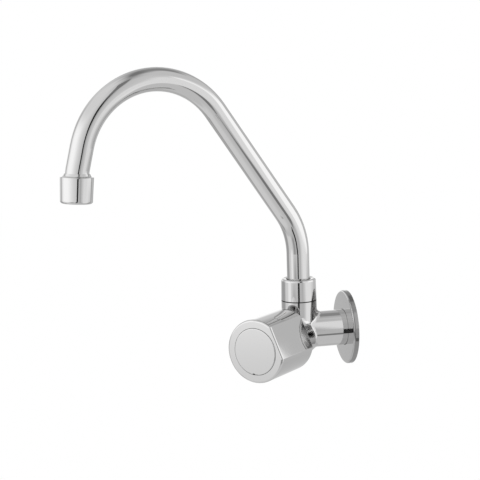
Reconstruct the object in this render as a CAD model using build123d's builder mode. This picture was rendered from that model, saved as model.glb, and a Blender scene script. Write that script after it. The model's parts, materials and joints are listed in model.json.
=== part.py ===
from build123d import *

import os
from math import cos, pi, radians, sin, sqrt

# A wall-mounted kitchen faucet: one valve, one swivel spout.
# Millimetres.  The origin is where the inlet axis meets the wall, +Z is up,
# -Y points out from the wall and +X is the right hand of who stands before it.

os.makedirs("parts", exist_ok=True)

# ---- Fits and gaps -------------------------------------------------------
thread_fit = 0.06      # radial clearance of a screwed, pressed or brazed pair
turning_fit = 0.08     # radial clearance of a pair that turns or slides
seal_fit = 0.03        # radial clearance of a rubber ring to its bore
joint_gap = 0.1        # hairline between two clamped faces
end_play = 0.1         # axial play of what turns between two faces
ring_play = 0.2        # a rubber ring to each side of its groove
mouth_gap = 0.3        # radial clearance of a loose bore
edge_break = 0.3       # broken edge of a turned piece
lead_in = 0.5          # rounding of an end that goes into a bore
overcut = 1.0          # how far a cut or a root runs past the face it crosses

# ---- Where the three axes lie --------------------------------------------
riser_offset = 36.25         # wall face to riser axis
valve_drop_height = 2.75     # valve axis below the inlet axis
valve_turn = 45.0            # valve axis, degrees to the right of straight out
spout_turn = 16.0            # spout as shown, degrees to the right of straight out

# ---- Body and inlet ------------------------------------------------------
thread_radius = 10.48        # female G 1/2, 20.955 mm across the roots
thread_depth = 13.0
thread_cone_depth = 2.6      # from the thread's end down to the waterway
inlet_wall = 2.17            # round the thread
inlet_round = 0.5
inlet_bore_radius = 6.0
inlet_bore_gap = 12.5        # centre of its ball end, behind the riser axis
boss_radius = 14.5           # round the valve axis, and the ball at the crossing
boss_height = 18.3           # riser axis to the face under the headwork
neck_radius = 12.5
neck_height = 22.0
nut_thread_height = 10.3     # male thread above the neck
socket_wall = 1.65           # between that thread and the socket for the spout's tail
socket_floor_height = 12.5
socket_round = 1.0
body_blend = 3.8             # cast fillet between neck, inlet and boss
blend_share = 0.8            # of the boss in front of the neck, at most
outlet_port_radius = 3.6
outlet_port_offset = 4.7     # along the valve axis
chamber_clearance = 0.7      # round the washer's carrier
chamber_floor_height = 1.5
chamber_round = 0.6
chamber_gap = 1.0            # below the headwork's foot
seat_depth = 4.0
seat_port_radius = 4.3
seat_port_depth = 9.5        # behind the riser axis

# ---- Wall flange, loose on the inlet ----------------------------------------
flange_radius = 26.2
flange_height = 4.0
flange_round = 1.3
flange_rim_round = 0.4
flange_wall = 1.2
flange_collar_wall = 1.6
flange_collar_setback = 0.6  # collar's end in front of the wall face

# ---- Valve seat and headwork, along the valve axis ------------------------
seat_lip_wall = 1.1
seat_lip_height = 0.8
seat_shoulder_width = 1.2    # from the lip out to the seat's thread
seat_clearance = 0.06        # closed washer to seat lip
washer_inset = 0.8           # washer's rim inside the carrier's
washer_thickness = 3.2
cup_rim_wall = 0.5           # wall of the cup round the washer
cup_depth = 1.7
cup_web_thickness = 1.8
thread_lead = 2.8            # two-start left-hand spindle thread, per turn
opening_turns = 1.25
carrier_radius = 7.9
carrier_flat_depth = 1.4
carrier_length = 11.6        # from the web of its cup
carrier_floor_thickness = 1.2  # from the same web to the spindle thread's bore
carrier_travel_gap = 0.3
spindle_thread_radius = 3.9
washer_screw_radius = 1.5
washer_screw_head_radius = 3.0
washer_screw_height = 1.6
bonnet_thread_step = 1.9     # headwork's thread beyond the chamber
bonnet_gasket_thickness = 1.0
bonnet_gasket_rim = 1.0      # beyond the hexagon's flats
bonnet_hex_width = 24.0
bonnet_hex_height = 6.0
bonnet_shoulder_rise = 2.0   # thrust shoulder above the hexagon
bonnet_skirt_height = 1.0    # headwork's foot before its bore widens for the collar
bonnet_neck_radius = 8.6
bonnet_neck_height = 10.0    # above the thrust shoulder
collar_radius = 6.3
collar_height = 2.0
thrust_thickness = 0.5
stem_radius = 5.0
stem_ring_wire = 1.4
stem_ring_rises = (2.6, 6.6)  # above the thrust shoulder
clip_lift_height = 0.2       # above the headwork's end play
clip_thickness = 0.8
clip_radius = 6.6
clip_mouth_width = 7.2
clip_gap = 0.3               # clip to the spline's shoulder
spline_root_radius = 4.1
spline_tooth_height = 0.6
spline_teeth = 20
spline_end_gap = 0.7         # spline's end inside the insert

# ---- Knob ------------------------------------------------------------------
knob_rear_gap = 0.8          # boss to the knob's rear
knob_radius = 21.9
knob_flat_offset = 18.6      # valve axis to the flat
knob_flat_angle = 23.75      # degrees above the right, seen from the front
knob_front_round = 1.5
knob_rear_round = 0.9
knob_flat_round = 0.5
knob_bore_gap = 2.14         # round the corners of the headwork's hexagon
knob_bore_round = 1.5
knob_web_thickness = 3.9
knob_hub_wall = 2.52         # round the insert's corners
knob_hub_round = 1.0
knob_hub_gap = 0.8           # spline's shoulder to the hub
insert_hex_width = 14.0
insert_length = 7.9
knob_screw_radius = 2.5
knob_screw_head_radius = 4.6
knob_screw_head_height = 3.0
knob_screw_head_round = 1.2
knob_screw_bite = 5.8        # below the spline's end
screw_key_width = 3.0
screw_key_depth = 2.0
screw_hole_spare = 1.0       # tapped hole beyond the screw's tip
cap_recess_depth = 9.0
cap_recess_wall = 2.3        # between the recess and the knob's flat
cap_gap = 0.18               # dark ring between cap and knob
cap_proud_height = 0.5
cap_round = 0.6
cap_thickness = 2.2
cap_skirt_gap = 2.6          # skirt to the floor of the recess
cap_skirt_wall = 2.2
cap_skirt_step = 0.2
cap_ring_wire = 1.5
notch_width = 4.2
notch_depth = 1.0
notch_length = 1.6

# ---- Swivel joint and spout ----------------------------------------------
nut_wall = 1.24              # at its top
nut_taper_width = 0.3        # foot beyond the top
nut_foot_gap = 0.28          # dark joint line between neck and nut
nut_edge_round = 1.5
nut_dish_depth = 0.7         # mouth below the rim of its top
nut_lip_thickness = 2.6      # at its rim
nut_foot_round = 0.25
nut_mouth_gap = 0.65         # round the tube
tube_radius = 8.0
tube_wall = 1.0
tail_foot_gap = 1.1          # above the socket's floor
tail_wall = 1.11             # round the tube's foot
tail_seat_height = 10.4      # tail's foot to the tube's
tail_ring_wire = 1.8
tail_ring_rises = (2.6, 6.8)  # above the tail's foot
tail_groove_wall = 1.22      # between the grooves and the waterway
tail_collar_gap = 0.46       # inside the nut's thread
tail_collar_height = 2.2
slip_thickness = 0.6
slip_gap = 0.3               # slip washer to the nut's ceiling
riser_top_height = 55.8      # end of the straight riser
first_bend_radius = 51.0
first_bend = 35.3
incline_length = 90.4
arch_radius = 54.4
arch_bend = 130.4
outlet_length = 14.45
last_bend_radius = 20.0
last_bend = 10.2
last_length = 6.6            # from the last bend into the nozzle

# ---- Nozzle and aerator, downwards from the nozzle's top face ---------------
nozzle_wall = 3.15           # round the tube
nozzle_taper_width = 0.5
nozzle_height = 17.2
nozzle_neck_wall = 0.5
nozzle_neck_flare_width = 0.94
nozzle_neck_height = 2.2
nozzle_neck_round = 1.5
nozzle_top_round = 0.5
nozzle_foot_wall = 2.0
nozzle_foot_round = 1.7
nozzle_socket_depth = 5.3    # for the tube
nozzle_ledge_thickness = 0.9
aerator_gasket_thickness = 1.4
aerator_gasket_width = 1.7
aerator_setback = 0.6        # retaining ring inside the nozzle's mouth
aerator_ring_wall = 1.28
cartridge_setback = 0.8      # inside the retaining ring's end
cartridge_lip_height = 1.3
cartridge_plate_thickness = 2.2
cartridge_wall = 1.3
cartridge_hole_radius = 0.6
cartridge_rows = ((0.6, 12), (0.3, 6))   # share of its radius, holes
screen_thickness = 0.6
screen_depth = 0.3           # above the cartridge's foot
screen_hole_radius = 0.62
screen_pitch = 0.95
screen_count = 5
key_slot_width = 2.4
key_slot_depth = 1.6

# ---- Derived places ----------------------------------------------------------
valve_way = (sin(radians(valve_turn)), -cos(radians(valve_turn)), 0)
valve_right = (cos(radians(valve_turn)), sin(radians(valve_turn)), 0)
riser_foot = (0, -riser_offset, 0)
valve_start = (0, -riser_offset, -valve_drop_height)
inlet_section = Plane(origin=(0, 0, 0), x_dir=(0, 0, 1), z_dir=(1, 0, 0))
riser_section = Plane(origin=riser_foot, x_dir=(1, 0, 0), z_dir=(0, -1, 0))
valve_section = Plane(origin=valve_start, x_dir=(0, 0, 1), z_dir=valve_right)
valve_face = Plane(origin=valve_start, x_dir=valve_right, z_dir=valve_way)
spout_way = (sin(radians(spout_turn)), -cos(radians(spout_turn)), 0)
spout_side = (-cos(radians(spout_turn)), -sin(radians(spout_turn)), 0)
spout_section = Plane(origin=riser_foot, x_dir=spout_way, z_dir=spout_side)
inlet_axis = Axis((0, 0, 0), (0, -1, 0))
riser_axis = Axis(riser_foot, (0, 0, 1))
valve_axis = Axis(valve_start, valve_way)


def outline(plane, corners):
    """Closed face from corners (across, along) or (across, along, rounding)."""
    rounds = [corner[2] if len(corner) > 2 else 0 for corner in corners]
    with BuildSketch(plane) as face:
        with BuildLine():
            FilletPolyline(*[corner[:2] for corner in corners], radius=rounds, close=True)
        make_face()
    return face.sketch


def ring_outline(plane, radius, height, wire):
    """Round cross-section of a rubber ring."""
    with BuildSketch(plane) as face:
        with Locations((radius, height)):
            Circle(wire / 2)
    return face.sketch


def spline_outline(plane, grow=0.0):
    """Serrated end of the spindle, or the hole for it when grown."""
    teeth = []
    for step in range(2 * spline_teeth):
        radius = (spline_root_radius if step % 2 else spline_tip_radius) + grow
        angle = pi * step / spline_teeth
        teeth.append((radius * cos(angle), radius * sin(angle)))
    with BuildSketch(plane) as face:
        with BuildLine():
            Polyline(*teeth, close=True)
        make_face()
    return face.sketch


def hexagon(plane, width, grow=0.0):
    """Hexagon of a width across flats, with one flat upwards."""
    with BuildSketch(plane) as face:
        RegularPolygon(radius=width / 2 + grow, side_count=6, major_radius=False)
    return face.sketch


def finish(piece, name):
    """Label a finished piece and write it."""
    piece.part.label = name
    export_step(piece.part, f"parts/{name}.step")


# ---- Radii that follow from what goes inside ---------------------------------------
inlet_radius = thread_radius + inlet_wall
tail_radius = tube_radius + thread_fit + tail_wall
socket_radius = tail_radius + turning_fit
nut_thread_radius = socket_radius + socket_wall
nut_bore_radius = nut_thread_radius + thread_fit
nut_radius = nut_bore_radius + nut_wall
chamber_radius = carrier_radius + chamber_clearance
bonnet_bore_radius = chamber_radius + bonnet_thread_step
washer_radius = carrier_radius - washer_inset
carrier_flat = carrier_radius - carrier_flat_depth
seat_lip_radius = seat_port_radius + seat_lip_wall
seat_bore_radius = seat_lip_radius + seat_shoulder_width
spline_tip_radius = spline_root_radius + spline_tooth_height
knob_bore_radius = bonnet_hex_width / sqrt(3) + knob_bore_gap
knob_hub_radius = insert_hex_width / sqrt(3) + knob_hub_wall
cap_recess_radius = knob_flat_offset - cap_recess_wall

# ---- Places along the valve axis, from the riser axis outwards -------------------
seat_lip = chamber_floor_height + seat_lip_height
washer_face = seat_lip + seat_clearance
cup_face = washer_face + washer_thickness
carrier_start = cup_face + cup_web_thickness
opening_lift = thread_lead * opening_turns
bonnet_foot = carrier_start + opening_lift + carrier_travel_gap
spindle_tip = carrier_start + carrier_floor_thickness + opening_lift + carrier_travel_gap
bonnet_seat = boss_height + bonnet_gasket_thickness
bonnet_shoulder = bonnet_seat + bonnet_hex_height + bonnet_shoulder_rise
collar_face = bonnet_shoulder - joint_gap - thrust_thickness - end_play
collar_start = collar_face - collar_height
bonnet_top = bonnet_shoulder + bonnet_neck_height
clip_start = bonnet_top + end_play + clip_lift_height
spline_start = clip_start + clip_thickness + clip_gap
knob_rear = boss_height + knob_rear_gap
knob_hub_rear = spline_start + knob_hub_gap
knob_web_rear = knob_hub_rear + insert_length
spline_end = knob_web_rear - spline_end_gap
knob_screw_tip = spline_end - knob_screw_bite
knob_web_front = knob_web_rear + knob_web_thickness
knob_front = knob_web_front + cap_recess_depth
cap_skirt_rear = knob_web_front + cap_skirt_gap
stem_bore_radius = stem_radius + turning_fit
stem_ring_places = [bonnet_shoulder + rise for rise in stem_ring_rises]
stem_groove_radius = stem_bore_radius - seal_fit - stem_ring_wire

# ---- Heights of the swivel joint ----------------------------------------------------
nut_foot = neck_height + nut_foot_gap
nut_thread_top = neck_height + nut_thread_height
tail_foot = socket_floor_height + tail_foot_gap
tube_foot = tail_foot + tail_seat_height
tail_collar_foot = nut_thread_top + end_play
tail_collar_top = tail_collar_foot + tail_collar_height
slip_top = tail_collar_top + slip_thickness
nut_ceiling = slip_top + slip_gap
nut_top = nut_ceiling + nut_lip_thickness

# ---- Faucet body ---------------------------------------------------------------
with BuildPart() as faucet_body:
    # Inlet, neck, and the boss with its ball where the three axes meet
    revolve(outline(inlet_section, [(0, 0), (inlet_radius, 0, inlet_round),
                                    (inlet_radius, riser_offset), (0, riser_offset)]),
            axis=inlet_axis)
    revolve(outline(riser_section, [(0, 0), (neck_radius, 0),
                                    (neck_radius, neck_height), (0, neck_height)]),
            axis=riser_axis)
    with Locations(valve_start):
        Sphere(boss_radius)
    with BuildSketch(valve_face):
        Circle(boss_radius)
    extrude(amount=boss_height)
    crossings = faucet_body.edges().filter_by(
        lambda edge: edge.geom_type not in (GeomType.LINE, GeomType.CIRCLE))
    fillet(crossings, min(body_blend, blend_share * (boss_height - neck_radius)))
    # Threaded end for the spout's nut
    revolve(outline(riser_section, [
        (0, neck_height - overcut), (nut_thread_radius, neck_height - overcut),
        (nut_thread_radius, nut_thread_top, lead_in), (0, nut_thread_top)]),
        axis=riser_axis)
    # Swivel socket and the waterways
    revolve(outline(riser_section, [
        (0, socket_floor_height), (socket_radius, socket_floor_height, socket_round),
        (socket_radius, nut_thread_top + overcut), (0, nut_thread_top + overcut)]),
        axis=riser_axis, mode=Mode.SUBTRACT)
    revolve(outline(inlet_section, [
        (0, 0), (thread_radius + edge_break, 0), (thread_radius, edge_break),
        (thread_radius, thread_depth), (inlet_bore_radius, thread_depth + thread_cone_depth),
        (inlet_bore_radius, riser_offset - inlet_bore_gap), (0, riser_offset - inlet_bore_gap)]),
        axis=inlet_axis, mode=Mode.SUBTRACT)
    with Locations((0, inlet_bore_gap - riser_offset, 0)):
        Sphere(inlet_bore_radius, mode=Mode.SUBTRACT)
    revolve(outline(valve_section, [
        (0, -seat_port_depth), (seat_port_radius, -seat_port_depth),
        (seat_port_radius, chamber_floor_height - seat_depth),
        (seat_bore_radius + thread_fit, chamber_floor_height - seat_depth),
        (seat_bore_radius + thread_fit, chamber_floor_height),
        (chamber_radius, chamber_floor_height, chamber_round),
        (chamber_radius, bonnet_foot - chamber_gap), (bonnet_bore_radius, bonnet_foot - chamber_gap),
        (bonnet_bore_radius, boss_height + overcut), (0, boss_height + overcut)]),
        axis=valve_axis, mode=Mode.SUBTRACT)
    with BuildSketch(Plane.XY):
        with Locations((outlet_port_offset * valve_way[0],
                        outlet_port_offset * valve_way[1] - riser_offset)):
            Circle(outlet_port_radius)
    extrude(amount=socket_floor_height + overcut, mode=Mode.SUBTRACT)
finish(faucet_body, "faucet_body")

# ---- Wall flange: a hollow disc that slides on the inlet ---------------------------------
flange_bore_radius = inlet_radius + mouth_gap
flange_collar_radius = flange_bore_radius + flange_collar_wall
flange_ceiling = flange_height - flange_wall
with BuildPart() as wall_flange:
    revolve(outline(inlet_section, [
        (flange_bore_radius, flange_collar_setback), (flange_collar_radius, flange_collar_setback),
        (flange_collar_radius, flange_ceiling), (flange_radius - flange_wall, flange_ceiling),
        (flange_radius - flange_wall, 0), (flange_radius, 0, flange_rim_round),
        (flange_radius, flange_height, flange_round), (flange_bore_radius, flange_height)]),
        axis=inlet_axis)
finish(wall_flange, "wall_flange")

# ---- Valve seat, screwed into the partition under the washer --------------------------
with BuildPart() as valve_seat:
    revolve(outline(valve_section, [
        (seat_port_radius, chamber_floor_height - seat_depth),
        (seat_bore_radius, chamber_floor_height - seat_depth, edge_break),
        (seat_bore_radius, chamber_floor_height), (seat_lip_radius, chamber_floor_height),
        (seat_lip_radius, seat_lip, edge_break), (seat_port_radius, seat_lip, edge_break)]),
        axis=valve_axis)
finish(valve_seat, "valve_seat")

# ---- Jumper: washer, its screw and the carrier that slides in the headwork ------------
with BuildPart() as valve_washer:
    revolve(outline(valve_section, [
        (washer_screw_radius + thread_fit, washer_face), (washer_radius, washer_face, edge_break),
        (washer_radius, cup_face), (washer_screw_radius + thread_fit, cup_face)]),
        axis=valve_axis)
finish(valve_washer, "valve_washer")

with BuildPart() as valve_carrier:
    with BuildSketch(valve_face.offset(carrier_start)):
        Circle(carrier_radius)
        Rectangle(2 * carrier_flat, 2 * carrier_radius, mode=Mode.INTERSECT)
    extrude(amount=carrier_length)
    chamfer(valve_carrier.faces().sort_by(valve_axis)[-1].edges(), edge_break)
    revolve(outline(valve_section, [
        (0, cup_face), (washer_radius + thread_fit, cup_face),
        (washer_radius + thread_fit, cup_face - cup_depth),
        (washer_radius + thread_fit + cup_rim_wall, cup_face - cup_depth),
        (washer_radius + thread_fit + cup_rim_wall, carrier_start), (0, carrier_start)]),
        axis=valve_axis)
    with BuildSketch(valve_face.offset(carrier_start + carrier_floor_thickness)):
        Circle(spindle_thread_radius + turning_fit)
    extrude(amount=carrier_length, mode=Mode.SUBTRACT)
    with BuildSketch(valve_face.offset(cup_face)):
        Circle(washer_screw_radius + thread_fit)
    extrude(amount=cup_web_thickness + carrier_floor_thickness, mode=Mode.SUBTRACT)
finish(valve_carrier, "valve_carrier")

with BuildPart() as washer_screw:
    revolve(outline(valve_section, [
        (0, washer_face - washer_screw_height),
        (washer_screw_head_radius, washer_face - washer_screw_height, lead_in),
        (washer_screw_head_radius, washer_face), (washer_screw_radius, washer_face),
        (washer_screw_radius, carrier_start + carrier_floor_thickness),
        (0, carrier_start + carrier_floor_thickness)]),
        axis=valve_axis)
finish(washer_screw, "washer_screw")

# ---- Headwork: gasket and bonnet ----------------------------------------------------
gasket_rim_radius = bonnet_hex_width / 2 + bonnet_gasket_rim
with BuildPart() as bonnet_gasket:
    revolve(outline(valve_section, [
        (bonnet_bore_radius + thread_fit, boss_height), (gasket_rim_radius, boss_height),
        (gasket_rim_radius, bonnet_seat), (bonnet_bore_radius + thread_fit, bonnet_seat)]),
        axis=valve_axis)
finish(bonnet_gasket, "bonnet_gasket")

with BuildPart() as bonnet:
    revolve(outline(valve_section, [
        (0, bonnet_foot), (bonnet_bore_radius - thread_fit, bonnet_foot, lead_in),
        (bonnet_bore_radius - thread_fit, bonnet_seat + overcut),
        (bonnet_neck_radius, bonnet_seat + overcut),
        (bonnet_neck_radius, bonnet_top, lead_in), (0, bonnet_top)]),
        axis=valve_axis)
    extrude(hexagon(valve_face.offset(bonnet_seat), bonnet_hex_width), amount=bonnet_hex_height)
    # Keyed bore for the carrier, round bore for the spindle's collar, bore for its stem
    with BuildSketch(valve_face.offset(bonnet_foot)):
        Circle(carrier_radius + turning_fit)
        Rectangle(2 * (carrier_flat + turning_fit), 3 * carrier_radius, mode=Mode.INTERSECT)
    extrude(amount=collar_start - joint_gap - bonnet_foot, mode=Mode.SUBTRACT)
    revolve(outline(valve_section, [
        (0, bonnet_foot + bonnet_skirt_height),
        (collar_radius + turning_fit, bonnet_foot + bonnet_skirt_height),
        (collar_radius + turning_fit, bonnet_shoulder), (stem_bore_radius, bonnet_shoulder),
        (stem_bore_radius, bonnet_top + overcut), (0, bonnet_top + overcut)]),
        axis=valve_axis, mode=Mode.SUBTRACT)
finish(bonnet, "bonnet")

# ---- Spindle and what turns with it ----------------------------------------------------
stem_groove_half = stem_ring_wire / 2 + ring_play
with BuildPart() as spindle:
    stem = [(0, spindle_tip), (spindle_thread_radius, spindle_tip, lead_in),
            (spindle_thread_radius, collar_start), (collar_radius, collar_start),
            (collar_radius, collar_face), (stem_radius, collar_face)]
    for place in stem_ring_places:
        stem += [(stem_radius, place - stem_groove_half),
                 (stem_groove_radius, place - stem_groove_half),
                 (stem_groove_radius, place + stem_groove_half),
                 (stem_radius, place + stem_groove_half)]
    stem += [(stem_radius, clip_start), (spline_root_radius, clip_start),
             (spline_root_radius, spline_end), (0, spline_end)]
    revolve(outline(valve_section, stem), axis=valve_axis)
    extrude(spline_outline(valve_face.offset(spline_start)), amount=spline_end - spline_start)
    with BuildSketch(valve_face.offset(spline_end)):
        Circle(knob_screw_radius + thread_fit)
    extrude(amount=knob_screw_tip - screw_hole_spare - spline_end, mode=Mode.SUBTRACT)
finish(spindle, "spindle")

for name, place in zip(("spindle_ring_inner", "spindle_ring_outer"), stem_ring_places):
    with BuildPart() as spindle_ring:
        centre = stem_groove_radius + stem_ring_wire / 2
        revolve(ring_outline(valve_section, centre, place, stem_ring_wire), axis=valve_axis)
    finish(spindle_ring, name)

with BuildPart() as thrust_washer:
    revolve(outline(valve_section, [
        (stem_bore_radius, collar_face), (collar_radius, collar_face),
        (collar_radius, collar_face + thrust_thickness),
        (stem_bore_radius, collar_face + thrust_thickness)]),
        axis=valve_axis)
finish(thrust_washer, "thrust_washer")

with BuildPart() as spindle_clip:
    with BuildSketch(valve_face.offset(clip_start)):
        Circle(clip_radius)
        Circle(spline_root_radius + thread_fit, mode=Mode.SUBTRACT)
        with Locations((0, -clip_radius)):
            Rectangle(clip_mouth_width, 2 * clip_radius, mode=Mode.SUBTRACT)
    extrude(amount=clip_thickness)
finish(spindle_clip, "spindle_clip")

# ---- Knob ------------------------------------------------------------------------------
with BuildPart() as knob_shell:
    with BuildSketch(valve_face.offset(knob_rear)):
        Circle(knob_radius)
        flat_centre = Location((0, 0, 0), (0, 0, knob_flat_angle)) * Location(
            ((knob_flat_offset - knob_radius) / 2, 0, 0))
        with Locations(flat_centre):
            Rectangle(knob_flat_offset + knob_radius, 2 * knob_radius, mode=Mode.INTERSECT)
    extrude(amount=knob_front - knob_rear)
    fillet(knob_shell.edges().filter_by(valve_axis), knob_flat_round)
    fillet(knob_shell.faces().sort_by(valve_axis)[-1].edges(), knob_front_round)
    fillet(knob_shell.faces().sort_by(valve_axis)[0].edges(), knob_rear_round)
    # Rear bore with the hub left standing, screw hole, recess for the cap
    revolve(outline(valve_section, [
        (knob_hub_radius, knob_rear - overcut), (knob_bore_radius, knob_rear - overcut),
        (knob_bore_radius, knob_web_rear, knob_bore_round),
        (knob_hub_radius, knob_web_rear, knob_hub_round)]),
        axis=valve_axis, mode=Mode.SUBTRACT)
    with BuildSketch(valve_face.offset(knob_hub_rear)):
        Circle(knob_hub_radius + knob_hub_round)
    extrude(amount=knob_rear - overcut - knob_hub_rear, mode=Mode.SUBTRACT)
    extrude(hexagon(valve_face.offset(knob_hub_rear), insert_hex_width, thread_fit),
            amount=knob_web_rear - knob_hub_rear, mode=Mode.SUBTRACT)
    revolve(outline(valve_section, [
        (0, knob_web_rear - overcut), (knob_screw_radius + mouth_gap, knob_web_rear - overcut),
        (knob_screw_radius + mouth_gap, knob_web_front),
        (cap_recess_radius, knob_web_front, lead_in),
        (cap_recess_radius, knob_front + overcut), (0, knob_front + overcut)]),
        axis=valve_axis, mode=Mode.SUBTRACT)
finish(knob_shell, "knob_shell")

with BuildPart() as knob_insert:
    extrude(hexagon(valve_face.offset(knob_hub_rear), insert_hex_width),
            amount=knob_web_rear - knob_hub_rear)
    extrude(spline_outline(valve_face.offset(knob_hub_rear), thread_fit),
            amount=knob_web_rear - knob_hub_rear, mode=Mode.SUBTRACT)
finish(knob_insert, "knob_insert")

with BuildPart() as knob_screw:
    revolve(outline(valve_section, [
        (0, knob_screw_tip), (knob_screw_radius, knob_screw_tip, lead_in),
        (knob_screw_radius, knob_web_front), (knob_screw_head_radius, knob_web_front),
        (knob_screw_head_radius, knob_web_front + knob_screw_head_height, knob_screw_head_round),
        (0, knob_web_front + knob_screw_head_height)]),
        axis=valve_axis)
    with BuildSketch(valve_face.offset(knob_web_front + knob_screw_head_height)):
        RegularPolygon(radius=screw_key_width / 2, side_count=6, major_radius=False)
    extrude(amount=-screw_key_depth, mode=Mode.SUBTRACT)
finish(knob_screw, "knob_screw")

# ---- Blank cap: a disc with a skirt that a rubber ring holds in the recess --------------
cap_radius = cap_recess_radius - cap_gap
cap_face = knob_front + cap_proud_height
skirt_radius = cap_radius - cap_skirt_step
cap_groove_radius = cap_recess_radius - seal_fit - cap_ring_wire
cap_groove_place = (cap_skirt_rear + cap_face - cap_thickness) / 2
cap_groove_half = cap_ring_wire / 2 + ring_play
with BuildPart() as knob_cap:
    revolve(outline(valve_section, [
        (0, cap_face), (cap_radius, cap_face, cap_round), (cap_radius, cap_face - cap_thickness),
        (skirt_radius, cap_face - cap_thickness),
        (skirt_radius, cap_groove_place + cap_groove_half),
        (cap_groove_radius, cap_groove_place + cap_groove_half),
        (cap_groove_radius, cap_groove_place - cap_groove_half),
        (skirt_radius, cap_groove_place - cap_groove_half),
        (skirt_radius, cap_skirt_rear, edge_break),
        (skirt_radius - cap_skirt_wall, cap_skirt_rear),
        (skirt_radius - cap_skirt_wall, cap_face - cap_thickness), (0, cap_face - cap_thickness)]),
        axis=valve_axis)
    # Notch at the bottom of the rim, to lift the cap out
    with BuildSketch(valve_face.offset(cap_face)):
        with Locations((0, -cap_radius)):
            Rectangle(notch_width, 2 * notch_depth)
    extrude(amount=-notch_length, mode=Mode.SUBTRACT)
finish(knob_cap, "knob_cap")

with BuildPart() as cap_ring:
    revolve(ring_outline(valve_section, cap_groove_radius + cap_ring_wire / 2,
                         cap_groove_place, cap_ring_wire), axis=valve_axis)
finish(cap_ring, "cap_ring")

# ---- Spout nut ----------------------------------------------------------------------------
mouth_radius = tube_radius + nut_mouth_gap
with BuildPart() as spout_nut:
    revolve(outline(riser_section, [
        (nut_bore_radius, nut_foot), (nut_radius + nut_taper_width, nut_foot, nut_foot_round),
        (nut_radius, nut_top, nut_edge_round),
        (mouth_radius, nut_top - nut_dish_depth, edge_break),
        (mouth_radius, nut_ceiling), (nut_bore_radius, nut_ceiling)]),
        axis=riser_axis)
finish(spout_nut, "spout_nut")

# ---- Spout tail: brazed on the tube's foot, turns in the body's socket ------------------------
tail_groove_radius = socket_radius - seal_fit - tail_ring_wire
tail_bore_radius = tail_groove_radius - tail_groove_wall
tail_collar_radius = nut_bore_radius - tail_collar_gap
tail_groove_half = tail_ring_wire / 2 + ring_play
tail_ring_places = [tail_foot + rise for rise in tail_ring_rises]
with BuildPart() as spout_tail:
    tail = [(tail_bore_radius, tail_foot), (tail_radius, tail_foot, lead_in)]
    for place in tail_ring_places:
        tail += [(tail_radius, place - tail_groove_half),
                 (tail_groove_radius, place - tail_groove_half),
                 (tail_groove_radius, place + tail_groove_half),
                 (tail_radius, place + tail_groove_half)]
    tail += [(tail_radius, tail_collar_foot), (tail_collar_radius, tail_collar_foot),
             (tail_collar_radius, tail_collar_top), (tube_radius + thread_fit, tail_collar_top),
             (tube_radius + thread_fit, tube_foot), (tail_bore_radius, tube_foot)]
    revolve(outline(riser_section, tail), axis=riser_axis)
finish(spout_tail, "spout_tail")

for name, place in zip(("tail_ring_lower", "tail_ring_upper"), tail_ring_places):
    with BuildPart() as tail_ring:
        centre = tail_groove_radius + tail_ring_wire / 2
        revolve(ring_outline(riser_section, centre, place, tail_ring_wire), axis=riser_axis)
    finish(tail_ring, name)

with BuildPart() as slip_washer:
    revolve(outline(riser_section, [
        (mouth_radius, tail_collar_top), (tail_collar_radius, tail_collar_top),
        (tail_collar_radius, slip_top), (mouth_radius, slip_top)]),
        axis=riser_axis)
finish(slip_washer, "slip_washer")

# ---- Spout tube: straight riser, first bend, incline, arch, outlet -------------------------------
with BuildLine(spout_section) as spout_route:
    riser = Line((0, tube_foot), (0, riser_top_height))
    bend_in = JernArc(riser @ 1, (0, 1), first_bend_radius, -first_bend)
    incline = PolarLine(bend_in @ 1, incline_length, 90 - first_bend)
    arch = JernArc(incline @ 1, (sin(radians(first_bend)), cos(radians(first_bend))),
                   arch_radius, -arch_bend)
    lean = first_bend + arch_bend
    outlet = PolarLine(arch @ 1, outlet_length, 90 - lean)
    bend_out = JernArc(outlet @ 1, (sin(radians(lean)), cos(radians(lean))),
                       last_bend_radius, -last_bend)
    nozzle_lean = lean + last_bend
    tube_end = PolarLine(bend_out @ 1, last_length, 90 - nozzle_lean)
with BuildPart() as spout_tube:
    with BuildSketch(Plane(origin=riser @ 0, z_dir=(0, 0, 1))):
        Circle(tube_radius)
        Circle(tube_radius - tube_wall, mode=Mode.SUBTRACT)
    sweep(path=spout_route.line)
finish(spout_tube, "spout_tube")

# ---- Nozzle -------------------------------------------------------------------------------------
nozzle_way = tube_end % 1
nozzle_top = (tube_end @ 1) - nozzle_way * nozzle_socket_depth
nozzle_face = Plane(origin=nozzle_top, x_dir=spout_side, z_dir=nozzle_way)
nozzle_section = Plane(origin=nozzle_top, x_dir=nozzle_face.y_dir, z_dir=nozzle_face.x_dir)
nozzle_axis = Axis(nozzle_top, nozzle_way)
nozzle_radius = tube_radius + nozzle_wall
nozzle_foot_radius = nozzle_radius - nozzle_taper_width
nozzle_bore_radius = tube_radius + thread_fit
nozzle_neck_radius = nozzle_bore_radius + nozzle_neck_wall
aerator_bore_radius = nozzle_foot_radius - nozzle_foot_wall
ledge_foot = nozzle_socket_depth + nozzle_ledge_thickness
with BuildPart() as nozzle_body:
    revolve(outline(nozzle_section, [
        (nozzle_bore_radius, -nozzle_neck_height),
        (nozzle_neck_radius, -nozzle_neck_height),
        (nozzle_neck_radius + nozzle_neck_flare_width, 0, nozzle_neck_round),
        (nozzle_radius, 0, nozzle_top_round),
        (nozzle_foot_radius, nozzle_height, nozzle_foot_round),
        (aerator_bore_radius, nozzle_height), (aerator_bore_radius, ledge_foot),
        (tube_radius - tube_wall, ledge_foot), (tube_radius - tube_wall, nozzle_socket_depth),
        (nozzle_bore_radius, nozzle_socket_depth)]),
        axis=nozzle_axis)
finish(nozzle_body, "nozzle_body")

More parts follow.
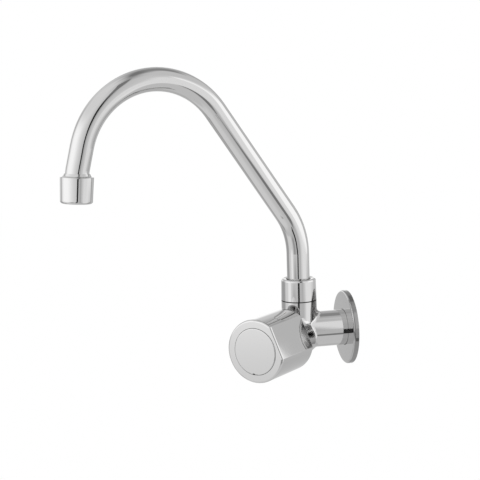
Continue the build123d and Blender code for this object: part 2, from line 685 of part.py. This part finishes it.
gasket_foot = ledge_foot + aerator_gasket_thickness
insert_radius = aerator_bore_radius - thread_fit
aerator_gasket_hole = insert_radius - aerator_gasket_width
aerator_ring_foot = nozzle_height - aerator_setback
cartridge_foot = aerator_ring_foot - cartridge_setback
cartridge_radius = insert_radius - aerator_ring_wall - thread_fit
with BuildPart() as aerator_gasket:
    revolve(outline(nozzle_section, [
        (aerator_gasket_hole, ledge_foot), (insert_radius, ledge_foot),
        (insert_radius, gasket_foot), (aerator_gasket_hole, gasket_foot)]),
        axis=nozzle_axis)
finish(aerator_gasket, "aerator_gasket")

with BuildPart() as aerator_cartridge:
    revolve(outline(nozzle_section, [
        (0, gasket_foot), (insert_radius, gasket_foot),
        (insert_radius, gasket_foot + cartridge_lip_height),
        (cartridge_radius, gasket_foot + cartridge_lip_height), (cartridge_radius, cartridge_foot),
        (cartridge_radius - cartridge_wall, cartridge_foot),
        (cartridge_radius - cartridge_wall, gasket_foot + cartridge_plate_thickness),
        (0, gasket_foot + cartridge_plate_thickness)]),
        axis=nozzle_axis)
    with BuildSketch(nozzle_face.offset(gasket_foot)):
        for share, holes in cartridge_rows:
            with PolarLocations(cartridge_radius * share, holes):
                Circle(cartridge_hole_radius)
    extrude(amount=cartridge_plate_thickness, mode=Mode.SUBTRACT)
finish(aerator_cartridge, "aerator_cartridge")

screen_radius = cartridge_radius - cartridge_wall - thread_fit
with BuildPart() as aerator_screen:
    with BuildSketch(nozzle_face.offset(cartridge_foot - screen_depth)):
        Circle(screen_radius)
        with HexLocations(screen_pitch, screen_count, screen_count, major_radius=False):
            Circle(screen_hole_radius, mode=Mode.SUBTRACT)
    extrude(amount=-screen_thickness)
finish(aerator_screen, "aerator_screen")

with BuildPart() as aerator_ring:
    revolve(outline(nozzle_section, [
        (cartridge_radius + thread_fit, gasket_foot + cartridge_lip_height),
        (insert_radius, gasket_foot + cartridge_lip_height),
        (insert_radius, aerator_ring_foot, edge_break),
        (cartridge_radius + thread_fit, aerator_ring_foot, edge_break)]),
        axis=nozzle_axis)
    with BuildSketch(nozzle_face.offset(aerator_ring_foot)):
        Rectangle(3 * aerator_bore_radius, key_slot_width)
    extrude(amount=-key_slot_depth, mode=Mode.SUBTRACT)
finish(aerator_ring, "aerator_ring")
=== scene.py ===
"""Looks of the wall faucet: chrome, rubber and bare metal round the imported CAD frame.

Metres and degrees.  The frame's origin is where the inlet axis meets the wall, +Z is up and -Y
points out from the wall.
"""

import json
from math import cos, pi, radians, sin

import bpy
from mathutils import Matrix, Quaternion, Vector


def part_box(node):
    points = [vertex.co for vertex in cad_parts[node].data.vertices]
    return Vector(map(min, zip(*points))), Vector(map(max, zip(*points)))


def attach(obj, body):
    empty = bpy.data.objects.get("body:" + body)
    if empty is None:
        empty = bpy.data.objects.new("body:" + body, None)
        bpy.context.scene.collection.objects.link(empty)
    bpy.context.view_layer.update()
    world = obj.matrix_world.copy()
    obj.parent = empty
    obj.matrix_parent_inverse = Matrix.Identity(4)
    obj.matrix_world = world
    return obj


# ---- Camera, as the photograph was taken ---------------------------------------
camera_azimuth = 77.80
camera_elevation = 8.59
camera_roll = 1.85
camera_distance = 0.9465
camera_lens = 101.76            # millimetres
camera_sensor_width = 36        # millimetres
camera_aim = Vector((0, -0.07758, 0.06754))

# ---- Metals --------------------------------------------------------------------
nickel_chrome = (0.555, 0.553, 0.552)
polish_noise = {"Scale": 90.0, "Detail": 3.0}       # about a centimetre across
relief_noise = {"Scale": 260.0, "Detail": 2.0}      # a few millimetres
relief_depth = 0.0001
crevice_width = 0.0009          # gaps this narrow get painted shade, a darker base colour
crevice_samples = 8
crevice_closed = 0.05           # share of free directions at which the painted shade is full
crevice_open = 0.42             # and at which there is none
crevice_painted_shade = 0.04
joint_half_width = 0.0004       # painted shade: a dark line where the nut meets the neck, for the shadow in the gap
joint_core = 0.4                # half widths within which it is full
joint_edge = 1.4                # and at which it has faded
joint_painted_shade = 0.06
# base colour darker towards the flange's outer rim
rim_setback = 0.0001            # end of the blend, inside the flange's edge
rim_blend = 0.0005
rim_shade = 0.5

# ---- Soft materials ------------------------------------------------------------
grain_detail = 4.0
grain_dark = 0.35               # noise levels of the two tones
grain_light = 0.65
grain_shade = 0.8
grain_mottle = 0.08
grain_strength = 0.2
grain_depth = 0.0002

# ---- Thread in the inlet, 14 turns to the inch ---------------------------------
thread_pitch = 0.001814
thread_root = 0.01052           # just inside the bore's wall
thread_crest = 0.0096
thread_from = -0.0118
thread_to = -0.0012
thread_steps = 60               # a turn
thread_run_out = 20             # steps over which it rises from the wall at each end
thread_half_ridge = 0.42        # share of the pitch

# ---- Studio --------------------------------------------------------------------
white = (1, 1, 1, 1)
world_level = 1.0
floor_height = -0.42
floor_size = 8.0
tent_radius = 1.3
tent_segments = 64
tent_rings = 32
tent_centre = Vector((0, -0.1, 0.07))
room_level = 0.85
# Azimuth from the camera's, positive to the picture's right, half width, soft edge,
# lowest and highest elevation, soft edge, and how bright; later lights cover earlier ones
tent_lights = {
    "front_fill": (-50, 8, 62, -4, 44, 22, 1.3),
    "right_fill": (80, 10, 42, -24, 44, 20, 1.12),
    "left_softbox": (-72, 10, 40, 0, 28, 26, 1.62),
    "right_softbox": (85, 24, 4, -4, 24, 16, 1.64),
    "rear_right": (124, 10, 4, -2, 24, 10, 0.78),
    "lens_card": (110.5, 2.3, 0.3, 2, 9.5, 0.4, 1.45),
    "rear_lamp": (-146, 10, 14, 2, 10, 8, 1.25),
    "rear_softbox": (178, 14, 8, -6, 6, 8, 1.25),
    "rear_high": (180, 16, 10, 28, 50, 8, 0.66),
    "rear_gap": (152, 3, 6, -12, 60, 10, 0.5),
    "side_gap": (-120, 2, 6, -4, 50, 10, 0.62),
    "dark_gap": (25, 3, 6, -8, 30, 8, 0.66),
    "dark_gap_high": (24, 3, 9, 42, 66, 10, 0.34),
    "ceiling": (0, 180, 5, 75, 90, 35, 0.3),
    "ceiling_left": (-65, 40, 80, 50, 72, 25, 1.1),
    "ceiling_right": (85, 20, 40, 40, 62, 20, 0.9),
    "ceiling_rear": (142, 20, 16, 56, 72, 10, 0.4),
    "skirt": (0, 180, 5, -34, -13, 6, 0.76),
    "skirt_left": (-74, 16, 22, -34, -10, 7, 1.07),
    "skirt_glow": (-64, 6, 10, -12, -10, 7, 1.38),
    "skirt_right": (66, 12, 24, -34, -10, 7, 1.27),
    "low_wedge": (-29, 4, 10, -28, -14, 5, 0.5),
    "rear_low": (-130, 16, 16, -32, -10, 8, 0.55),
    "floor": (0, 180, 5, -90, -38, 5, 0.86),
    "floor_glow": (-75, 25, 60, -60, -50, 10, 1.03),
    "floor_behind": (160, 40, 30, -56, -34, 14, 0.7),
    "floor_edge": (30, 11, 8, -35, -28, 3, 0.3),
    "floor_edge_left": (-120, 22, 12, -44, -40, 4, 0.55),
}
# A dark strap hung from the tent's top on the camera's side, by azimuth and elevation
strap_places = ((-1, -34), (-1, -21), (-2, -15), (2, -9), (9, -3), (15, 4), (18, 14), (18, 26),
                (21, 36), (23, 46), (22, 62))
strap_half_angle = 5.7
strap_radius = 1.27
strap_level = 0.04
strap_top_level = 0.3           # thinner cloth there
strap_thins_from = 0.62         # heights above the inlet axis
strap_thins_to = 0.86
# A card close to the barrel, out of the picture to its right, its edges fading out
card_place = Vector((0.241, 0.128, 0.14))
card_size = (0.21, 0.32)
card_edge = 0.16                # share of its size
card_level = 1.2

# ---- Frame ---------------------------------------------------------------------
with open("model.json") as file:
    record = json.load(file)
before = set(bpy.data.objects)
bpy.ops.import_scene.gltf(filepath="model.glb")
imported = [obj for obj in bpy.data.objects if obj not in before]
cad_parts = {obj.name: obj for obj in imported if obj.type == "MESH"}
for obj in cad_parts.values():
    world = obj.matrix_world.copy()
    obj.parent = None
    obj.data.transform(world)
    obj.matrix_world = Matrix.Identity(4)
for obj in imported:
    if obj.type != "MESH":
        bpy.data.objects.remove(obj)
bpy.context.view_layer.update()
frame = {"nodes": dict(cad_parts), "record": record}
nodes = frame["nodes"]
scene = bpy.context.scene
scene.view_settings.view_transform = "Standard"


class Shader:
    """Nodes of one new material, added and linked by short calls."""

    def __init__(self, name, surface="ShaderNodeBsdfPrincipled"):
        self.material = bpy.data.materials.new(name)
        self.material.use_nodes = True
        self.tree = self.material.node_tree
        self.tree.nodes.clear()
        self.surface = self.add(surface)
        output = self.add("ShaderNodeOutputMaterial")
        self.link(self.surface, 0, output, "Surface")

    def add(self, kind, **settings):
        node = self.tree.nodes.new(kind)
        for key, value in settings.items():
            if key in node.inputs:
                node.inputs[key].default_value = value
            else:
                setattr(node, key, value)
        return node

    def link(self, source, output, target, socket):
        self.tree.links.new(source.outputs[output], target.inputs[socket])

    def placed(self, kind, **settings):
        """Node that takes the piece's own coordinates."""
        node = self.add(kind, **settings)
        self.link(self.add("ShaderNodeTexCoord"), "Object", node, 0)
        return node

    def math(self, operation, source, output, *numbers):
        """Arithmetic on an output, with numbers as the other inputs."""
        node = self.add("ShaderNodeMath", operation=operation)
        for socket, number in enumerate(numbers, 1):
            node.inputs[socket].default_value = number
        self.link(source, output, node, 0)
        return node

    def fade(self, source, output, start, end, first, last):
        """First up to the start, last beyond the end, and a smooth step between."""
        node = self.add("ShaderNodeMapRange", interpolation_type="SMOOTHSTEP")
        node.inputs["From Min"].default_value = start
        node.inputs["From Max"].default_value = end
        node.inputs["To Min"].default_value = first
        node.inputs["To Max"].default_value = last
        self.link(source, output, node, "Value")
        return node

    def product(self, first, second):
        """Product of two fades."""
        node = self.add("ShaderNodeMath", operation="MULTIPLY")
        self.link(first, "Result", node, 0)
        self.link(second, "Result", node, 1)
        return node

    def ramp(self, source, output, stops):
        """Colour ramp of two stops."""
        node = self.add("ShaderNodeValToRGB")
        for element, (place, colour) in zip(node.color_ramp.elements, stops):
            element.position = place
            element.color = (*colour, 1)
        self.link(source, output, node, "Fac")
        return node

    def fade_to_colour(self, tone, amount, colour):
        """Tone, a node and its output, going over to a colour by a fade."""
        mix = self.add("ShaderNodeMix", data_type="RGBA")
        below = 6               # a Mix node's sockets for colours
        above = 7
        result = 2
        mix.inputs[above].default_value = (*colour, 1)
        self.link(amount, "Result", mix, "Factor")
        self.link(*tone, mix, below)
        return mix, result

    def polish(self, noise, roughness, mottle):
        """Roughness that a noise makes uneven."""
        spread = self.add("ShaderNodeMapRange")
        spread.inputs["To Min"].default_value = roughness - mottle
        spread.inputs["To Max"].default_value = roughness + mottle
        self.link(noise, "Fac", spread, "Value")
        self.link(spread, "Result", self.surface, "Roughness")

    def relief(self, noise, strength, depth):
        """Bumps that follow a noise."""
        bump = self.add("ShaderNodeBump", Strength=strength, Distance=depth)
        self.link(noise, "Fac", bump, "Height")
        self.link(bump, "Normal", self.surface, "Normal")


def shade(colour, share):
    return tuple(share * part for part in colour)


def metal(name, colour, roughness, mottle, bump):
    """Bare or plated metal, its polish uneven by one noise and its surface by a finer one."""
    shader = Shader(name)
    shader.surface.inputs["Metallic"].default_value = 1.0
    shader.surface.inputs["Base Color"].default_value = (*colour, 1)
    shader.polish(shader.placed("ShaderNodeTexNoise", **polish_noise), roughness, mottle)
    shader.relief(shader.placed("ShaderNodeTexNoise", **relief_noise), bump, relief_depth)
    return shader


def chrome_plate(name, roughness, mottle, bump, joint_height=None, rim_radius=None):
    """Chrome plating, its colour darkened in narrow gaps as painted shade.

    It is dark in a line at a joint's height too, painted shade for the shadow in the gap.
    Towards a rim's radius round the inlet axis its base colour turns darker.
    """
    shader = metal(name, nickel_chrome, roughness, mottle, bump)
    # painted shade: ambient occlusion darkens the base colour in narrow gaps
    opening = shader.add("ShaderNodeAmbientOcclusion", samples=crevice_samples,
                         Distance=crevice_width)
    stops = [(crevice_closed, shade(nickel_chrome, crevice_painted_shade)), (crevice_open, nickel_chrome)]
    tone = (shader.ramp(opening, "AO", stops), "Color")
    if joint_height is not None:
        # painted shade: a dark line at the joint's height, for the shadow between nut and neck
        height = shader.placed("ShaderNodeSeparateXYZ")
        above = shader.math("SUBTRACT", height, "Z", joint_height)
        away = shader.math("ABSOLUTE", above, "Value")
        line = shader.fade(away, "Value", joint_core * joint_half_width,
                           joint_edge * joint_half_width, 1, 0)
        tone = shader.fade_to_colour(tone, line, shade(nickel_chrome, joint_painted_shade))
    if rim_radius is not None:
        # base colour darker towards the rim's radius
        across_axis = shader.placed("ShaderNodeVectorMath", operation="MULTIPLY")
        across_axis.inputs[1].default_value = (1, 0, 1)
        reach = shader.add("ShaderNodeVectorMath", operation="LENGTH")
        shader.link(across_axis, "Vector", reach, 0)
        rim_darkening = shader.fade(reach, "Value", rim_radius - rim_blend, rim_radius, 0, 1)
        tone = shader.fade_to_colour(tone, rim_darkening, shade(nickel_chrome, rim_shade))
    shader.link(*tone, shader.surface, "Base Color")
    return shader


def soft(name, colour, roughness, grain):
    """Rubber, fibre or plastic with a fine moulded grain."""
    shader = Shader(name)
    noise = shader.placed("ShaderNodeTexNoise", Scale=grain, Detail=grain_detail)
    stops = [(grain_dark, shade(colour, grain_shade)), (grain_light, colour)]
    tint = shader.ramp(noise, "Fac", stops)
    shader.link(tint, "Color", shader.surface, "Base Color")
    shader.polish(noise, roughness, grain_mottle)
    shader.relief(noise, grain_strength, grain_depth)
    return shader


# ---- Finishes, by the record's material slots ----------------------------------
finishes = {
    "chrome": chrome_plate("chrome_plate", 0.045, 0.02, 0.02),
    "brass": metal("turned_brass", (0.72, 0.55, 0.28), 0.28, 0.06, 0.25),
    "stainless": metal("stainless", (0.60, 0.60, 0.59), 0.25, 0.06, 0.15),
    "rubber": soft("nitrile_rubber", (0.03, 0.03, 0.032), 0.6, 500.0),
    "ptfe": soft("ptfe", (0.86, 0.86, 0.84), 0.45, 300.0),
    "fibre": soft("red_fibre", (0.36, 0.09, 0.06), 0.7, 700.0),
    "acetal": soft("acetal", (0.78, 0.78, 0.76), 0.4, 300.0),
}
nut_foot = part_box("spout_nut")[0][2]
flange_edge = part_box("wall_flange")[1][0]
jointed = chrome_plate("chrome_plate_nut_joint", 0.045, 0.02, 0.02, joint_height=nut_foot)
pressed = chrome_plate("chrome_plate_pressed", 0.09, 0.03, 0.03,
                       rim_radius=flange_edge - rim_setback)
own_finishes = {"faucet_body": jointed, "spout_nut": jointed, "wall_flange": pressed}
for row in frame["record"]["subparts"]:
    node = nodes[row["node"]]
    finish = own_finishes.get(row["node"], finishes[row["material_slot"]])
    node.data.materials.clear()
    node.data.materials.append(finish.material)


# ---- Thread --------------------------------------------------------------------
def mesh_piece(name, corners, faces, shader):
    """New object in the scene, of one material."""
    mesh = bpy.data.meshes.new(name)
    mesh.from_pydata(corners, [], faces)
    mesh.materials.append(shader.material)
    piece = bpy.data.objects.new(name, mesh)
    scene.collection.objects.link(piece)
    return piece


def thread_ridge():
    """Corners and faces of the helical ridge, three corners to each step."""
    half = thread_half_ridge * thread_pitch
    total = round((thread_to - thread_from) / thread_pitch * thread_steps)
    corners = []
    for step in range(total + 1):
        turn = 2 * pi * step / thread_steps
        middle = thread_from + thread_pitch * step / thread_steps
        risen = min(1, step / thread_run_out, (total - step) / thread_run_out)
        crest = thread_root + (thread_crest - thread_root) * risen
        for radius, along in ((thread_root, -half), (crest, 0), (thread_root, half)):
            corners.append((radius * sin(turn), middle + along, radius * cos(turn)))
    faces = []
    for first in range(0, 3 * total, 3):
        for here, there in ((0, 1), (1, 2), (2, 0)):
            faces.append((first + here, first + there, first + there + 3, first + here + 3))
    return corners, faces


thread = mesh_piece("inlet_thread_ridge", *thread_ridge(), finishes["chrome"])
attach(thread, "fixed_body")

# ---- Floor ---------------------------------------------------------------------
bpy.ops.mesh.primitive_plane_add(size=floor_size, location=(0, 0, floor_height))
floor = bpy.context.object
floor.name = "floor"
paper = Shader("floor_paper", "ShaderNodeBsdfDiffuse")
paper.surface.inputs["Color"].default_value = white
floor.data.materials.append(paper.material)
floor.visible_glossy = False     # the tent has its own


# ---- Light tent, strap and card: seen only in reflections ----------------------
def in_reflections_only(piece):
    """Stage piece that metal mirrors and that neither lights nor shades anything."""
    piece.visible_camera = False
    piece.visible_diffuse = False
    piece.visible_shadow = False


def across(shader, angle, centre, half, edge):
    """1 within half of the centre, falling to 0 over the edge beyond."""
    offset = shader.math("SUBTRACT", angle, "Value", radians(centre))
    wrapped = shader.math("WRAP", offset, "Value", pi, -pi)
    size = shader.math("ABSOLUTE", wrapped, "Value")
    return shader.fade(size, "Value", radians(half), radians(half + edge), 1, 0)


def tent_cloth():
    """Cloth that glows by the direction in which it is seen from the tent's centre."""
    cloth = Shader("tent_cloth", "ShaderNodeEmission")
    way = cloth.placed("ShaderNodeVectorMath", operation="NORMALIZE")
    split = cloth.add("ShaderNodeSeparateXYZ")
    cloth.link(way, "Vector", split, "Vector")
    azimuth = cloth.add("ShaderNodeMath", operation="ARCTAN2")
    cloth.link(split, "Y", azimuth, 0)
    cloth.link(split, "X", azimuth, 1)
    elevation = cloth.math("ARCSINE", split, "Z")
    level = cloth.add("ShaderNodeValue")
    level.outputs[0].default_value = room_level
    for centre, half, edge, low, high, end, strength in tent_lights.values():
        sideways = across(cloth, azimuth, centre, half, edge)
        upright = across(cloth, elevation, (low + high) / 2, (high - low) / 2, end)
        covered = cloth.add("ShaderNodeMix", data_type="FLOAT")
        covered.inputs["B"].default_value = strength
        cloth.link(cloth.product(sideways, upright), "Value", covered, "Factor")
        cloth.link(level, 0, covered, "A")
        level = covered
    cloth.link(level, 0, cloth.surface, "Strength")
    return cloth


bpy.ops.mesh.primitive_uv_sphere_add(segments=tent_segments, ring_count=tent_rings,
                                     radius=tent_radius, location=tent_centre,
                                     rotation=(0, 0, radians(camera_azimuth - 90)))
tent = bpy.context.object
tent.name = "light_tent"
tent.data.materials.append(tent_cloth().material)
in_reflections_only(tent)


def on_tent(azimuth, elevation):
    """Place just inside the tent, by angles from the camera's azimuth and the horizon."""
    turn = radians(azimuth + camera_azimuth - 90)
    rise = radians(elevation)
    outward = Vector((cos(turn) * cos(rise), sin(turn) * cos(rise), sin(rise)))
    return tent_centre + strap_radius * outward


def strap():
    """Strip of felt through its places, equally wide at all of them."""
    corners = []
    for azimuth, elevation in strap_places:
        half = strap_half_angle / cos(radians(elevation))
        corners += [on_tent(azimuth - half, elevation), on_tent(azimuth + half, elevation)]
    faces = [(i, i + 1, i + 3, i + 2) for i in range(0, len(corners) - 2, 2)]
    felt = Shader("strap_felt", "ShaderNodeEmission")
    height = felt.placed("ShaderNodeSeparateXYZ")
    level = felt.fade(height, "Z", strap_thins_from, strap_thins_to, strap_level, strap_top_level)
    felt.link(level, "Result", felt.surface, "Strength")
    return mesh_piece("strap", corners, faces, felt)


def near_card():
    """Unit square scaled to the card's size, facing the frame's origin."""
    half = 0.5
    glow = Shader("near_card_cloth", "ShaderNodeMixShader")
    glow.link(glow.add("ShaderNodeBsdfTransparent"), 0, glow.surface, 1)
    glow.link(glow.add("ShaderNodeEmission", Strength=card_level), 0, glow.surface, 2)
    sides = glow.placed("ShaderNodeSeparateXYZ")
    fades = [glow.fade(glow.math("ABSOLUTE", sides, axis), "Value", half - card_edge, half, 1, 0)
             for axis in "XY"]
    glow.link(glow.product(*fades), "Value", glow.surface, 0)
    corners = [(-half, -half, 0), (half, -half, 0), (half, half, 0), (-half, half, 0)]
    card = mesh_piece("near_card", corners, [(0, 1, 2, 3)], glow)
    card.location = card_place
    card.rotation_mode = "QUATERNION"
    card.rotation_quaternion = (-card_place).to_track_quat("Z", "Y")
    card.scale = (*card_size, 1)
    return card


in_reflections_only(strap())
in_reflections_only(near_card())

# ---- World: even white light ---------------------------------------------------
world = bpy.data.worlds.new("studio")
scene.world = world
world.use_nodes = True
world.node_tree.nodes["Background"].inputs["Color"].default_value = white
world.node_tree.nodes["Background"].inputs["Strength"].default_value = world_level

# ---- Camera --------------------------------------------------------------------
turn = radians(camera_azimuth)
rise = radians(camera_elevation)
back = Vector((sin(turn) * cos(rise), -cos(turn) * cos(rise), sin(rise)))
lens = bpy.data.cameras.new("camera")
lens.lens = camera_lens
lens.sensor_width = camera_sensor_width
camera = bpy.data.objects.new("camera", lens)
scene.collection.objects.link(camera)
camera.location = camera_aim + back * camera_distance
camera.rotation_mode = "QUATERNION"
roll = Quaternion((0, 0, 1), radians(-camera_roll))
camera.rotation_quaternion = (-back).to_track_quat("-Z", "Y") @ roll
scene.camera = camera
